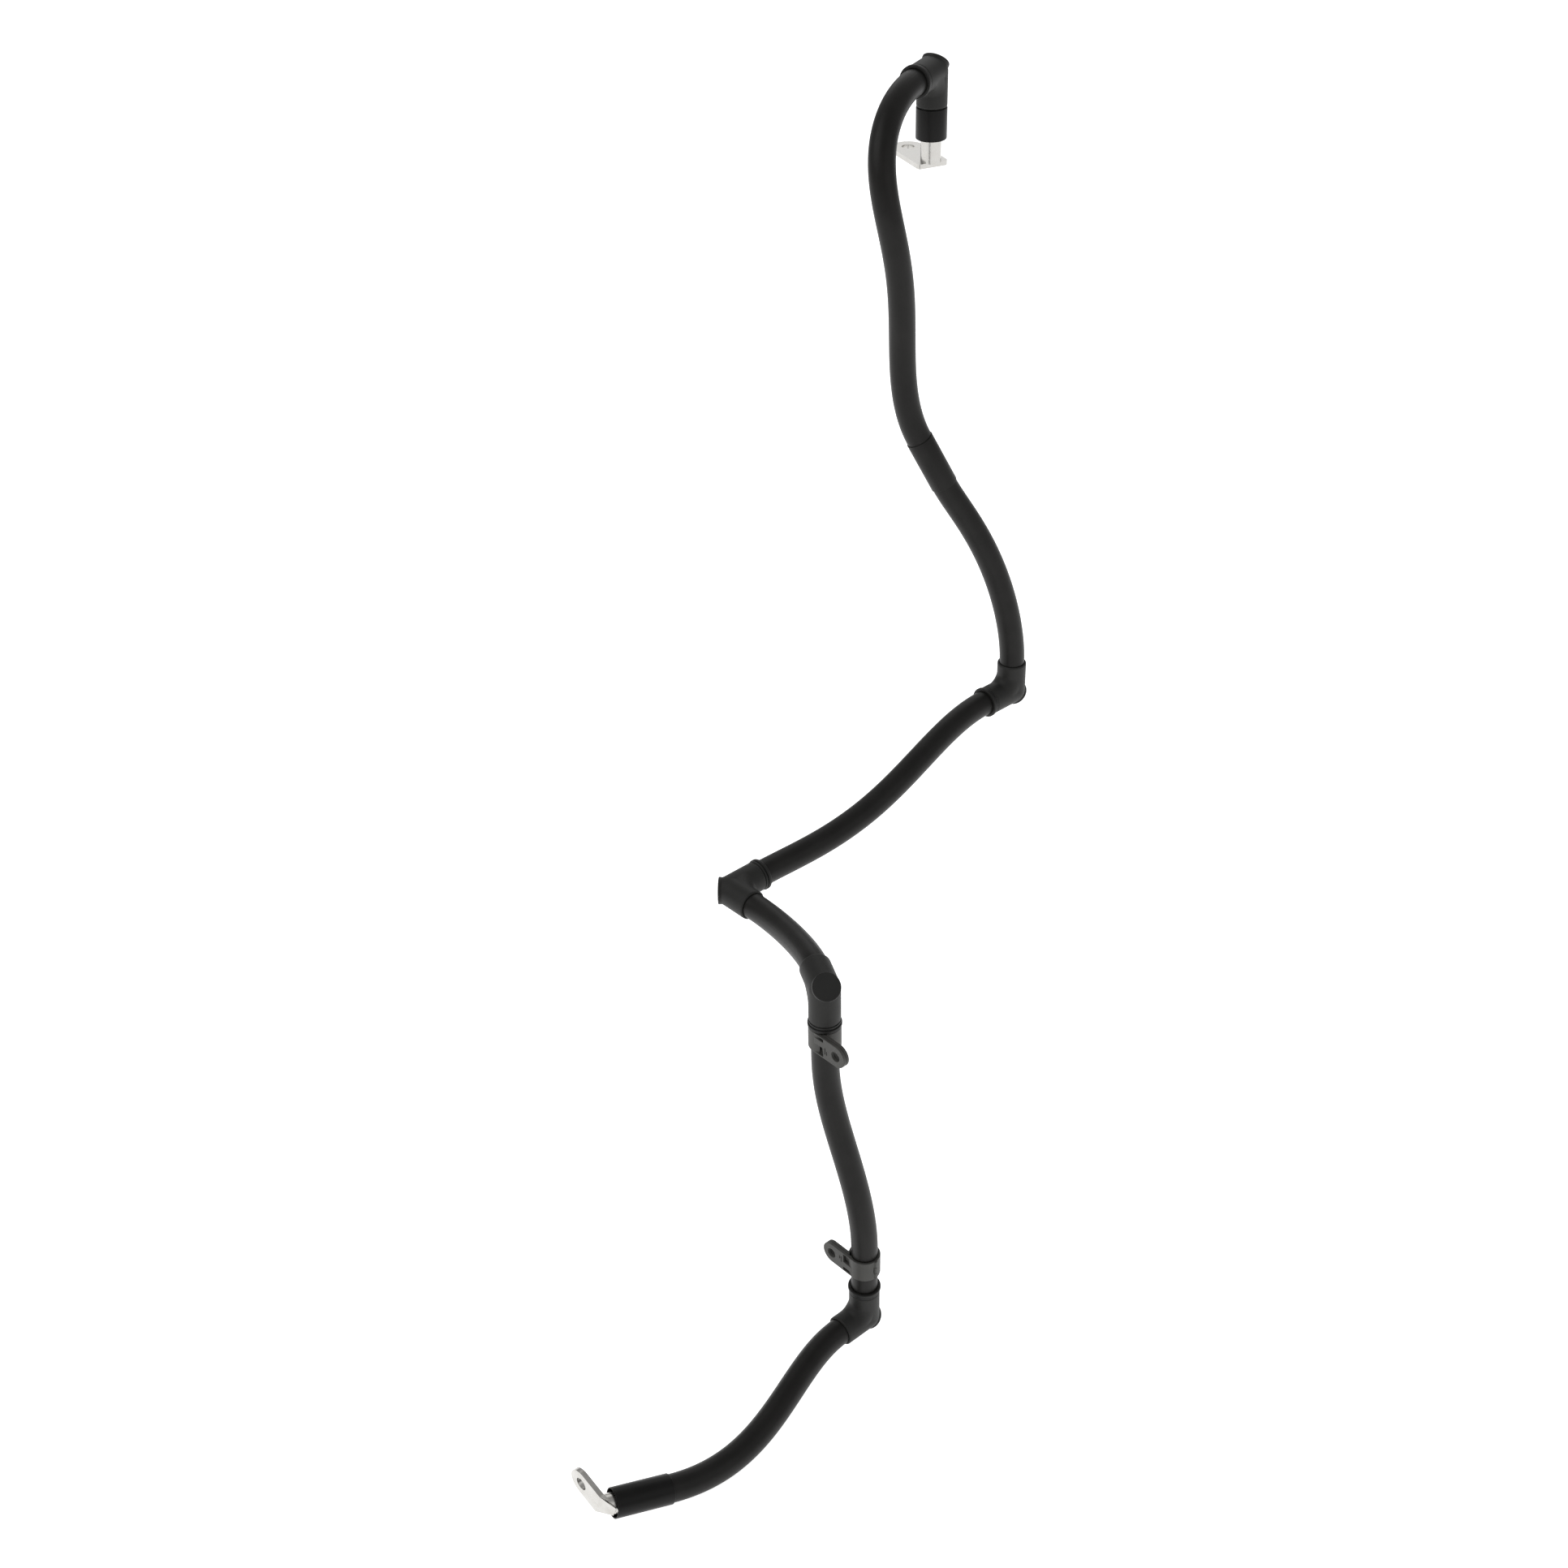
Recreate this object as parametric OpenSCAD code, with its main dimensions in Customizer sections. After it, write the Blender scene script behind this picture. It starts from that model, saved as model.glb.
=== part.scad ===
// Heavy vehicle power cable: a stranded cable in smooth protective hose, turned round five
// moulded elbows, held by two pipe clips and ended in two ring lugs. Millimetres, +Z up.
// The origin is the centre of the upper lug's bolt hole, on its seating face.

/* [Cable] */
// Diameter of the stranded conductor
conductor_d = 11.4; // [9:0.1:12]
// Outside diameter of the cable jacket
jacket_d = 14.6; // [13:0.1:15]
// Gap round the conductor, in the jacket and in the lug barrels
conductor_gap = 0.1; // [0.05:0.05:0.3]

/* [Hose] */
// Outside diameter of the protective hose
hose_d = 21.5; // [19:0.1:26]
// Bore of the protective hose
hose_bore = 17; // [16.8:0.1:18]
// Clearance of the hose in elbow sockets and under sleeves
hose_fit = 0.1; // [0.05:0.05:0.3]
// Length of the sleeve that joins the two long upper hoses
joint_sleeve_len = 46; // [30:1:60]
// Wall of the joint sleeve
joint_sleeve_wall = 0.5; // [0.4:0.1:2]

/* [End sleeves] */
// Length of the sleeve at the upper lug
upper_sleeve_len = 25.5; // [22:0.5:36]
// Wall of the sleeve at the upper lug
upper_sleeve_wall = 1.75; // [0.8:0.05:2.5]
// Length of the sleeve at the lower lug
lower_sleeve_len = 47; // [36:1:60]
// Wall of the sleeve at the lower lug
lower_sleeve_wall = 0.9; // [0.8:0.05:2.5]
// How far the hose stops short of the open end of a sleeve
sleeve_overhang = 12; // [8:1:16]

/* [Elbows] */
// Wall of an elbow round its hose sockets
socket_wall = 1.65; // [1.4:0.05:3]
// Length of the ribbed arm, from the corner
ribbed_arm = 34; // [30:0.5:44]
// Length of the plain arm, from the corner
plain_arm = 28; // [25:0.5:40]
// Bend radius of the cable passage, at its middle
passage_bend = 16; // [15:0.5:18]
// Diameter of the cable passage
passage_d = 17; // [16:0.1:18]
// Bend radius of the outer skin, at its middle
skin_bend = 19; // [18:0.5:22]
// Diameter of the round boss on the outer corner
boss_d = 21.8; // [20:0.1:24]
// Distance from the corner to the boss's open face
boss_face = 8.1; // [7:0.1:10]
// Diameter of the plug's stem
plug_d = 16; // [12:0.1:17]
// Clearance round the plug's stem
plug_fit = 0.05; // [0.02:0.01:0.2]
// Length of the plug's stem
plug_len = 5.9; // [3:0.1:6.2]
// Thickness of the plug's cap
plug_cap_t = 1.2; // [0.8:0.1:2]
// Height of the lock ring's lip above the elbow's skin
lip_rise = 0.8; // [0.4:0.1:1.6]
// Length of the lock ring
lock_ring_len = 6; // [5:0.1:8]
// Wall of the neck that the lock ring sits on
neck_wall = 0.85; // [0.7:0.05:1]
// Clearance between the lock ring and the neck
ring_fit = 0.05; // [0.02:0.01:0.2]

/* [Lugs] */
// Outside diameter of the crimp barrel
barrel_d = 16.6; // [15:0.1:16.8]
// Length of the crimp barrel
barrel_len = 26; // [22:1:34]
// Depth of the barrel's bore
barrel_depth = 22; // [16:1:24]
// Width of the upper palm
palm_w = 27; // [22:0.5:34]
// Width of the lower palm
lower_palm_w = 24; // [20:0.5:30]
// Thickness of the palm
palm_t = 4; // [3:0.1:6]
// Diameter of the bolt hole
bolt_d = 10.5; // [8.4:0.1:13]
// Distance that the palm runs on behind the barrel's axis
palm_heel = 5; // [4:0.1:12]
// Distance from the upper barrel's axis to its bolt hole
upper_reach = 40; // [34:0.5:50]
// Distance from the lower barrel's axis to its bolt hole
lower_reach = 23.7; // [20:0.1:30]
// Distance from the lower bolt hole to the bend in the lower lug
lower_palm_len = 20; // [16:0.5:22]
// Slope of the lower palm, down towards its barrel
lower_slope = 17.5; // [0:0.5:30]

/* [Clips] */
// Width of the clip band, along the hose
clip_w = 19; // [14:0.5:24]
// Wall of the clip band
clip_wall = 2; // [1.5:0.1:3]
// Running clearance between the clip band and the hose
clip_gap = 0.08; // [0.02:0.02:0.1]
// Thickness of one leaf of the bolt tab
leaf_t = 2.5; // [2:0.1:3.5]
// Gap between the two leaves
leaf_gap = 0.3; // [0.2:0.05:0.5]
// Distance from the hose's axis to the tab's bolt hole, along the tab
tab_reach = 25; // [23:0.5:34]
// Diameter of the tab's bolt hole
tab_hole_d = 8.5; // [6.5:0.1:10.5]
// Gap between a clip and the elbow beside it
clip_stand_off = 0.5; // [0.4:0.1:4]
// Height of the lower clip above the end of its elbow
lower_clip_rise = 16.5; // [10:0.5:18]

/* [Layout] */
// Height of the first elbow over the second
upper_drop = 512; // [420:1:620]
// Level run between the second elbow and the third
side_run = 332; // [280:1:400]
// Level run between the third elbow and the fourth
cross_run = 159; // [140:1:200]
// Height of the fourth elbow over the fifth
lower_drop = 326; // [300:1:400]
// Bearing of the upper palm, from -X towards +Y
upper_bearing = 18; // [0:1:30]

/* [Hidden] */
$fn = 64;

hose_r = hose_d / 2;
socket_r = hose_r + hose_fit;
skin_r = socket_r + socket_wall;
neck_r = socket_r + neck_wall;
lip_r = skin_r + lip_rise;
barrel_bore_r = conductor_d / 2 + conductor_gap;
clip_in_r = hose_r + clip_gap;
clip_out_r = clip_in_r + clip_wall;
eps = 0.01;
// How far a straight end of hose laps over the swept part
lap = 0.5;
// How far the bend's skin lies inside the skin of the arms
bend_inset = 0.2;

hose_sides = 16;
cable_sides = 12;
arc_steps = 6;

hose_colour = "#2b2a28";
sleeve_colour = "#1b1b1b";
base_colour = "#4b4a47";
strap_colour = "#4f4e4b";
tin_colour = "#c9c8c4";

// Bare barrel between each sleeve and its palm, and the height of the first corner
bare_barrel = 18.5;
lower_bare_barrel = 6.2;
first_corner_z = palm_t + bare_barrel + upper_sleeve_len + plain_arm;

// Each elbow: its corner, the way its ribbed arm points, and the way its plain arm points
function level(bearing) = [cos(bearing), sin(bearing), 0];
corner_1 = [upper_reach * cos(upper_bearing), -upper_reach * sin(upper_bearing), first_corner_z];
corner_2 = corner_1 + [120, -10, -upper_drop];
corner_3 = corner_2 + [3, -side_run, -49];
corner_4 = corner_3 + [cross_run, -45, 17];
corner_5 = corner_4 + [35, 9, -lower_drop];
elbows = [[corner_1, level(-70), [0, 0, -1]],
          [corner_2, [0, -1, 0], [0, 0, 1]],
          [corner_3, [0, 1, 0], [1, 0, 0]],
          [corner_4, [0, 0, -1], level(152)],
          [corner_5, [0, 0, 1], [0, -1, 0]]];
RIBBED = 1;
PLAIN = 2;
function arm_len(arm) = arm == RIBBED ? ribbed_arm : plain_arm;
function along(i, arm, d) = elbows[i - 1][0] + d * elbows[i - 1][arm];
function port(i, arm, extra = 0) = along(i, arm, arm_len(arm) + extra);

// The lower lug: its palm is square to Y, and its barrel leans off that by 20 degrees
lower_lean = 20;
lower_roll = 33;
palm_out = [0, -1, 0];
palm_way = [-cos(lower_slope), 0, sin(lower_slope)];
barrel_out = cos(lower_lean) * palm_out + sin(lower_lean) * [-cos(lower_roll), 0, sin(lower_roll)];

// Straight stretches of hose under the clips
upper_straight = clip_stand_off + clip_w + 2.5;
lower_straight = lower_clip_rise + clip_w + 4;

// Hose routes: Bezier control points. The points in between are chosen by hand, each from a
// corner that it follows.
joint_start = corner_1 + [63, -71.6, -272];
joint_dir = unit([31, 34, -89]);
joint_end = joint_start + joint_sleeve_len * joint_dir;
tail_end = corner_5 + [22, -227.6, -6];
route_2 = [port(1, RIBBED), port(1, RIBBED, 65), corner_1 + [55, -141.6, -55],
           corner_1 + [74, -100.6, -91], corner_1 + [65, -71.6, -132],
           joint_start - 74 * joint_dir, joint_start];
route_3 = [joint_end, joint_end + 34 * joint_dir, corner_2 + [-15, -10.6, 140],
           port(2, PLAIN, 42), port(2, PLAIN)];
route_4 = [port(2, RIBBED), port(2, RIBBED, 78), corner_3 + [30, 154.4, 11],
           port(3, RIBBED, 63), port(3, RIBBED)];
route_5 = [port(3, PLAIN), port(3, PLAIN, 36), port(4, PLAIN, 20), port(4, PLAIN)];
route_6 = [port(4, RIBBED, upper_straight), port(4, RIBBED, upper_straight + 33),
           corner_4 + [1, -0.6, -121], corner_5 + [-15, -2.6, 167],
           port(5, RIBBED, lower_straight + 47), port(5, RIBBED, lower_straight)];
route_7 = [port(5, PLAIN), port(5, PLAIN, 39), corner_5 + [20, -105.6, -3],
           corner_5 + [36, -144.6, -13], tail_end - 46 * barrel_out, tail_end];
// Rings along each swept stretch
rings_2 = 17;
rings_3 = 9;
rings_4 = 13;
rings_5 = 6;
rings_6 = 9;
rings_7 = 10;

// Stations of the lugs along their own sleeves
lower_palm_at = tail_end + (lower_sleeve_len + lower_bare_barrel) * barrel_out;
upper_palm_at = [corner_1[0], corner_1[1], palm_t];
// How far the upper barrel sinks into its palm
weld = 0.5;
lower_barrel_len = barrel_len + 2;

// The bent lower lug in its own frame: palm along X, outer side towards Z, barrel's axis through
// the origin. The neck's narrow end lies off that axis, on the side away from the bolt hole.
bend_at = lower_reach - lower_palm_len;
barrel_axis = [barrel_out * palm_way, barrel_out * cross(palm_out, palm_way), barrel_out * palm_out];
neck_w = 10;
neck_depth = 5.5;
neck_offset = 5.5;
neck_up = unit((barrel_axis * [1, 0, 0]) * barrel_axis - [1, 0, 0]);
neck_side = cross(neck_up, barrel_axis);
neck_tip = neck_offset * neck_up - neck_depth * barrel_axis;

// Clip parts
leaf_front = -clip_out_r;
leaf_back = leaf_front + leaf_t + leaf_gap;
// Where the strap's web leaves its band, where its leaf leaves the web, and where the base's
// leaf leaves its own band
web_root = 2;
tab_root = 11.5;
band_root = 7.2;
web_w = 5.5;
rim = 1.2;
// Angles at which each half of the band begins and ends
base_band = [-38, 176];
strap_band = [184, 300];
// Slots in the front leaf: distance from the hose's axis, and length
leaf_slots = [[13.2, 6], [15, 3.5]];
slot_w = 0.9;
slot_depth = 0.8;
slot_foot = -4.5;
hinge_at = clip_out_r - 0.2;
knuckle_r = 1.5;
knuckle_gap = 0.3;
upper_clip_z = port(4, RIBBED)[2] - clip_stand_off - clip_w / 2;
lower_clip_z = port(5, RIBBED)[2] + lower_clip_rise + clip_w / 2;

function unit(v) = v / norm(v);
function mix(a, b, t) = a + (b - a) * t;
function steps(p) = [for (i = [0:len(p) - 2]) p[i + 1] - p[i]];
// Point on a Bezier curve, by repeated mixing of neighbouring control points
function bezier(p, t) = len(p) == 1 ? p[0] :
    bezier([for (i = [0:len(p) - 2]) mix(p[i], p[i + 1], t)], t);
function curve(p, n) = [for (i = [0:n]) bezier(p, i / n)];
function headings(p, n) = [for (i = [0:n]) unit(bezier(steps(p), i / n))];
// Quarter turn of the cable inside an elbow, from one arm to the other
function quarter(i, from, to) =
    let (c = elbows[i - 1][0], p = elbows[i - 1][from], q = elbows[i - 1][to])
    [for (k = [0:arc_steps]) let (a = 90 * k / arc_steps)
        c + passage_bend * (p + q) - passage_bend * (cos(a) * q + sin(a) * p)];
function chord(p, i) = i < 0 || i > len(p) - 2 ? [0, 0, 0] : unit(p[i + 1] - p[i]);
function chord_headings(p) = [for (i = [0:len(p) - 1]) unit(chord(p, i - 1) + chord(p, i))];
// A side vector at each station, carried along so that the tube doesn't twist
function sides_of(h, i = 0, made = []) = i == len(h) ? made :
    let (last = i == 0 ? (abs(h[0][2]) < 0.8 ? [0, 0, 1] : [0, 1, 0]) : made[i - 1])
    sides_of(h, i + 1, concat(made, [unit(last - (last * h[i]) * h[i])]));

// Closed tube of round section through stations p with headings h
module sweep(p, h, r, n) {
    s = sides_of(h);
    last = len(p) - 1;
    points = [for (i = [0:last]) for (k = [0:n - 1])
        p[i] + r * (cos(360 * k / n) * s[i] + sin(360 * k / n) * cross(h[i], s[i]))];
    function at(i, k) = i * n + k % n;
    faces = concat([[for (k = [0:n - 1]) k]],
                   [[for (k = [n - 1:-1:0]) last * n + k]],
                   [for (i = [0:last - 1]) for (k = [0:n - 1]) [at(i, k), at(i + 1, k + 1), at(i, k + 1)]],
                   [for (i = [0:last - 1]) for (k = [0:n - 1]) [at(i, k), at(i + 1, k), at(i + 1, k + 1)]]);
    polyhedron(points = points, faces = faces);
}

// Open-ended tube in one piece: an outer skin, an inner skin and a ring face at each end
module tube(p, h, out_r, in_r, n) {
    s = sides_of(h);
    last = len(p) - 1;
    half = (last + 1) * n;
    points = [for (r = [out_r, in_r]) for (i = [0:last]) for (k = [0:n - 1])
        p[i] + r * (cos(360 * k / n) * s[i] + sin(360 * k / n) * cross(h[i], s[i]))];
    function at(i, k, skin) = skin * half + i * n + k % n;
    skins = [for (i = [0:last - 1]) for (k = [0:n - 1]) for (f = [
        [at(i, k, 0), at(i + 1, k + 1, 0), at(i, k + 1, 0)],
        [at(i, k, 0), at(i + 1, k, 0), at(i + 1, k + 1, 0)],
        [at(i, k, 1), at(i, k + 1, 1), at(i + 1, k + 1, 1)],
        [at(i, k, 1), at(i + 1, k + 1, 1), at(i + 1, k, 1)]]) f];
    ends = [for (k = [0:n - 1]) for (f = [
        [at(0, k, 0), at(0, k + 1, 0), at(0, k + 1, 1), at(0, k, 1)],
        [at(last, k, 0), at(last, k, 1), at(last, k + 1, 1), at(last, k + 1, 0)]]) f];
    polyhedron(points = points, faces = concat(skins, ends));
}

// Puts local X, Y and Z on the directions x, y and x cross y, at a point
module frame_at(p, x, y) {
    z = cross(x, y);
    multmatrix([[x[0], y[0], z[0], p[0]], [x[1], y[1], z[1], p[1]], [x[2], y[2], z[2], p[2]], [0, 0, 0, 1]])
        children();
}

// Puts local Z on the direction d, at a point
module aim(p, d) {
    y = unit(cross(d, abs(d[2]) > 0.8 ? [0, 1, 0] : [0, 0, 1]));
    frame_at(p, cross(y, d), y) children();
}

module rod(p, d, len, r) {
    aim(p, d) cylinder(h = len, r = r);
}

// Hose along a route, with a straight stretch before and after its curve
module hose(route, rings, before, after) {
    last = len(route) - 1;
    first = unit(route[1] - route[0]);
    final = unit(route[last] - route[last - 1]);
    way = concat([route[0] - before * first], curve(route, rings), [route[last] + after * final]);
    turn = concat([first], headings(route, rings), [final]);
    color(hose_colour) tube(way, turn, hose_r, hose_bore / 2, hose_sides);
}

// Hose whose straight ends are true cylinders, for the clips to turn on
module clipped_hose(route, rings, before, after) {
    color(hose_colour)
    difference() {
        clipped_core(route, rings, before, after, hose_r);
        clipped_core(route, rings, before + eps, after + eps, hose_bore / 2);
    }
}

module clipped_core(route, rings, before, after, r) {
    first = unit(route[1] - route[0]);
    last = len(route) - 1;
    final = unit(route[last] - route[last - 1]);
    sweep(curve(route, rings), headings(route, rings), r, hose_sides);
    rod(route[0] - before * first, first, before + lap, r);
    rod(route[last] - lap * final, final, after + lap, r);
}

module straight_tube(p, d, len, out_r, in_r) {
    difference() {
        rod(p, d, len, out_r);
        rod(p - eps * d, d, len + 2 * eps, in_r);
    }
}

// Hoses, by number from the upper lug

ribbed_socket = ribbed_arm - passage_bend;
plain_socket = plain_arm - passage_bend;

module hose_1() {
    len = plain_socket + upper_sleeve_len - sleeve_overhang;
    color(hose_colour)
    straight_tube(along(1, PLAIN, passage_bend), [0, 0, -1], len, hose_r, hose_bore / 2);
}

module hose_2() {
    hose(route_2, rings_2, ribbed_socket, joint_sleeve_len / 2);
}

module hose_3() {
    hose(route_3, rings_3, joint_sleeve_len / 2, plain_socket);
}

module hose_4() {
    hose(route_4, rings_4, ribbed_socket, ribbed_socket);
}

module hose_5() {
    hose(route_5, rings_5, plain_socket, plain_socket);
}

module hose_6() {
    clipped_hose(route_6, rings_6, ribbed_socket + upper_straight, ribbed_socket + lower_straight);
}

module hose_7() {
    hose(route_7, rings_7, plain_socket, lower_sleeve_len - sleeve_overhang);
}

// The cable's own stations, shared by the jacket and the conductor

cable_way = concat(quarter(1, PLAIN, RIBBED), curve(route_2, rings_2), curve(route_3, rings_3),
                   quarter(2, PLAIN, RIBBED), curve(route_4, rings_4), quarter(3, RIBBED, PLAIN),
                   curve(route_5, rings_5), quarter(4, PLAIN, RIBBED), curve(route_6, rings_6),
                   quarter(5, RIBBED, PLAIN), curve(route_7, rings_7));

function cable_ends(from_upper, from_lower) =
    concat([[upper_palm_at[0], upper_palm_at[1], palm_t + from_upper]], cable_way,
           [lower_palm_at - from_lower * barrel_out]);

module cable_jacket() {
    way = cable_ends(barrel_len, lower_barrel_len);
    color("#1d1d1e")
    tube(way, chord_headings(way), jacket_d / 2, conductor_d / 2 + conductor_gap, cable_sides);
}

module conductor() {
    way = cable_ends(barrel_len - barrel_depth, lower_barrel_len - barrel_depth);
    color("#b87345") sweep(way, chord_headings(way), conductor_d / 2, cable_sides);
}

// Sleeves

module joint_sleeve() {
    color("#262624")
    straight_tube(joint_start, joint_dir, joint_sleeve_len, socket_r + joint_sleeve_wall, socket_r);
}

module end_sleeve_upper() {
    color(sleeve_colour)
    straight_tube(port(1, PLAIN), [0, 0, -1], upper_sleeve_len, socket_r + upper_sleeve_wall, socket_r);
}

module end_sleeve_lower() {
    color(sleeve_colour)
    straight_tube(tail_end, barrel_out, lower_sleeve_len, socket_r + lower_sleeve_wall, socket_r);
}

// Elbow, with its corner at the local origin, ribbed arm along X and plain arm along Y

corner_way = [-1, -1, 0] / sqrt(2);
// How far the neck stops short of the arm's end
neck_stop = 1;
// How far the plug's cap stays inside the boss
cap_inset = 0.15;

// Quarter ring that turns from local X to local Y
module quarter_ring(bend, r) {
    translate([bend, bend, 0]) rotate([0, 0, 180])
        rotate_extrude(angle = 90) translate([bend, 0]) circle(r);
}

// Plain arm along Z, with its end rounded off by a small chamfer
module arm(len, r, soft) {
    rotate_extrude() polygon([[0, 0], [r, 0], [r, len - soft], [r - soft, len], [0, len]]);
}

module elbow_body() {
    shoulder = ribbed_arm - lock_ring_len;
    difference() {
        union() {
            aim([0, 0, 0], [1, 0, 0]) arm(shoulder, skin_r, 0);
            aim([0, 0, 0], [1, 0, 0]) cylinder(h = ribbed_arm - neck_stop, r = neck_r);
            aim([0, 0, 0], [0, 1, 0]) arm(plain_arm, skin_r, 1);
            quarter_ring(skin_bend, skin_r - bend_inset);
            sphere(r = skin_r);
            aim([0, 0, 0], corner_way) cylinder(h = boss_face, r = boss_d / 2);
        }
        aim(boss_face * corner_way, corner_way) cylinder(h = 2 * skin_r, r = 2 * skin_r);
        aim([0, 0, 0], corner_way) cylinder(h = boss_face + 1, r = plug_d / 2);
        quarter_ring(passage_bend, passage_d / 2);
        aim([passage_bend, 0, 0], [1, 0, 0]) cylinder(h = ribbed_arm, r = socket_r);
        aim([0, passage_bend, 0], [0, 1, 0]) cylinder(h = plain_arm, r = socket_r);
    }
}

module corner_plug_body() {
    aim(boss_face * corner_way, corner_way) cylinder(h = plug_cap_t, r = boss_d / 2 - cap_inset);
    aim((boss_face - plug_len) * corner_way, corner_way)
        cylinder(h = plug_len + eps, r = plug_d / 2 - plug_fit);
}

// Lock ring: a thin bead, a groove and the lip that closes the end of the ribbed arm
module lock_ring_body() {
    in_r = neck_r + ring_fit;
    base = ribbed_arm - lock_ring_len;
    groove_r = skin_r - 0.35;
    bead_r = skin_r + 0.1;
    bead_base = 0.5;
    bead_len = 2.2;
    lip_base = 3.2;
    soft = 0.6;
    aim([base, 0, 0], [1, 0, 0])
    rotate_extrude() {
        translate([in_r, 0]) square([groove_r - in_r, lock_ring_len]);
        translate([in_r, bead_base]) square([bead_r - in_r, bead_len]);
        translate([in_r, lip_base]) square([lip_r - in_r, lock_ring_len - lip_base - soft]);
        translate([in_r, lip_base]) square([lip_r - soft - in_r, lock_ring_len - lip_base]);
        translate([lip_r - soft, lock_ring_len - soft]) circle(soft);
    }
    aim([ribbed_arm - neck_stop, 0, 0], [1, 0, 0])
    rotate_extrude() translate([socket_r, 0]) square([in_r - socket_r + 0.2, neck_stop]);
}

module on_elbow(i) {
    frame_at(elbows[i - 1][0], elbows[i - 1][RIBBED], elbows[i - 1][PLAIN]) children();
}

module elbow(i) {
    color("#30302e") on_elbow(i) elbow_body();
}

module corner_plug(i) {
    color("#2c2c2a") on_elbow(i) corner_plug_body();
}

module lock_ring(i) {
    color("#2e2e2c") on_elbow(i) lock_ring_body();
}

// Lug: the barrel stands on the local origin along Z, and the palm runs along X

module palm_outline(reach) {
    soft = 3;
    half = palm_w / 2;
    difference() {
        union() {
            translate([soft - palm_heel, -half]) square([reach + palm_heel - soft, palm_w]);
            translate([-palm_heel, soft - half]) square([soft * 2, palm_w - 2 * soft]);
            for (s = [-1, 1]) translate([soft - palm_heel, s * (half - soft)]) circle(soft);
            translate([reach, 0]) circle(half);
        }
        translate([reach, 0]) circle(bolt_d / 2);
    }
}

module lug_upper() {
    color(tin_colour)
    frame_at(upper_palm_at, level(180 - upper_bearing), level(270 - upper_bearing)) {
        translate([0, 0, -palm_t]) linear_extrude(palm_t) palm_outline(upper_reach);
        difference() {
            translate([0, 0, -weld]) cylinder(h = barrel_len + weld, r = barrel_d / 2);
            translate([0, 0, barrel_len - barrel_depth]) cylinder(h = barrel_depth + 1, r = barrel_bore_r);
        }
    }
}

// Palm of the lower lug, from its bend to its round end, with its back face on the local origin
module bent_palm() {
    linear_extrude(palm_t)
    difference() {
        union() {
            translate([bend_at, -lower_palm_w / 2]) square([lower_palm_len, lower_palm_w]);
            translate([lower_reach, 0]) circle(lower_palm_w / 2);
        }
        translate([lower_reach, 0]) circle(bolt_d / 2);
    }
}

// Neck between the bend and the barrel: a plate that grows narrower
module neck() {
    wide = lower_palm_w / 2;
    slim = neck_w / 2;
    thick = palm_t / 2 * neck_up;
    points = [[bend_at, -wide, 0], [bend_at, wide, 0], [bend_at, wide, palm_t], [bend_at, -wide, palm_t],
              neck_tip - slim * neck_side - thick, neck_tip + slim * neck_side - thick,
              neck_tip + slim * neck_side + thick, neck_tip - slim * neck_side + thick];
    faces = [[2, 1, 0], [3, 2, 0], [5, 6, 7], [4, 5, 7],
             [5, 4, 0], [1, 5, 0], [6, 5, 1], [2, 6, 1], [7, 6, 2], [3, 7, 2], [4, 7, 3], [0, 4, 3]];
    polyhedron(points = points, faces = faces);
}

module lug_lower() {
    spread = 3 * barrel_d;
    fall = atan2(palm_t / 2 - neck_tip[2], bend_at - neck_tip[0]);
    color(tin_colour)
    frame_at(lower_palm_at, palm_way, cross(palm_out, palm_way)) {
        bent_palm();
        neck();
        difference() {
            rod(barrel_d * barrel_axis, -barrel_axis, barrel_d + lower_barrel_len, barrel_d / 2);
            rod((barrel_depth - lower_barrel_len) * barrel_axis, -barrel_axis,
                barrel_depth + 1, barrel_bore_r);
            translate([0, 0, palm_t / 2]) cylinder(h = spread, r = spread);
            translate([bend_at, 0, palm_t / 2]) rotate([0, -fall, 0]) cylinder(h = spread, r = spread);
        }
    }
}

// Clip, with the hose along local Z, the tab along X and its flat side towards -Y

// Stretch of the clip band between two angles
module band(ends) {
    rotate([0, 0, ends[0]])
    rotate_extrude(angle = ends[1] - ends[0])
        translate([clip_in_r, -clip_w / 2]) square([clip_wall, clip_w]);
}

module leaf(from, y) {
    eye_r = clip_w / 2;
    translate([0, y + leaf_t, 0]) rotate([90, 0, 0])
    linear_extrude(leaf_t)
    difference() {
        union() {
            translate([from, -eye_r]) square([tab_reach - from, clip_w]);
            translate([tab_reach, 0]) circle(eye_r);
        }
        translate([tab_reach, 0]) circle(tab_hole_d / 2);
    }
}

// Knuckle of the hinge, over one third of the clip's width
module knuckle(third, spare = 0) {
    translate([-hinge_at, 0, third * clip_w / 3])
        cylinder(h = clip_w / 3 - knuckle_gap + 2 * spare, r = knuckle_r + spare, center = true);
}

// Front leaf, with pockets that leave a web and two rims, and with two slots
module front_leaf() {
    half = clip_w / 2;
    difference() {
        leaf(web_root, leaf_front);
        for (z = [[rim - half, 0], [web_w, half - rim]])
            translate([0, leaf_front - 1, z[0]]) cube([tab_root, clip_wall + 4, z[1] - z[0]]);
        for (slot = leaf_slots)
            translate([slot[0], leaf_front - 1, slot_foot]) cube([slot_w, slot_depth + 1, slot[1]]);
        cylinder(h = 2 * clip_w, r = clip_in_r + clip_wall / 2, center = true);
    }
}

module back_leaf() {
    difference() {
        leaf(band_root, leaf_back);
        cylinder(h = 2 * clip_w, r = clip_in_r + clip_wall / 2, center = true);
    }
}

module clip_base() {
    difference() {
        band(base_band);
        for (third = [-1, 1]) knuckle(third, knuckle_gap);
    }
    back_leaf();
    knuckle(0);
}

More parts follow.
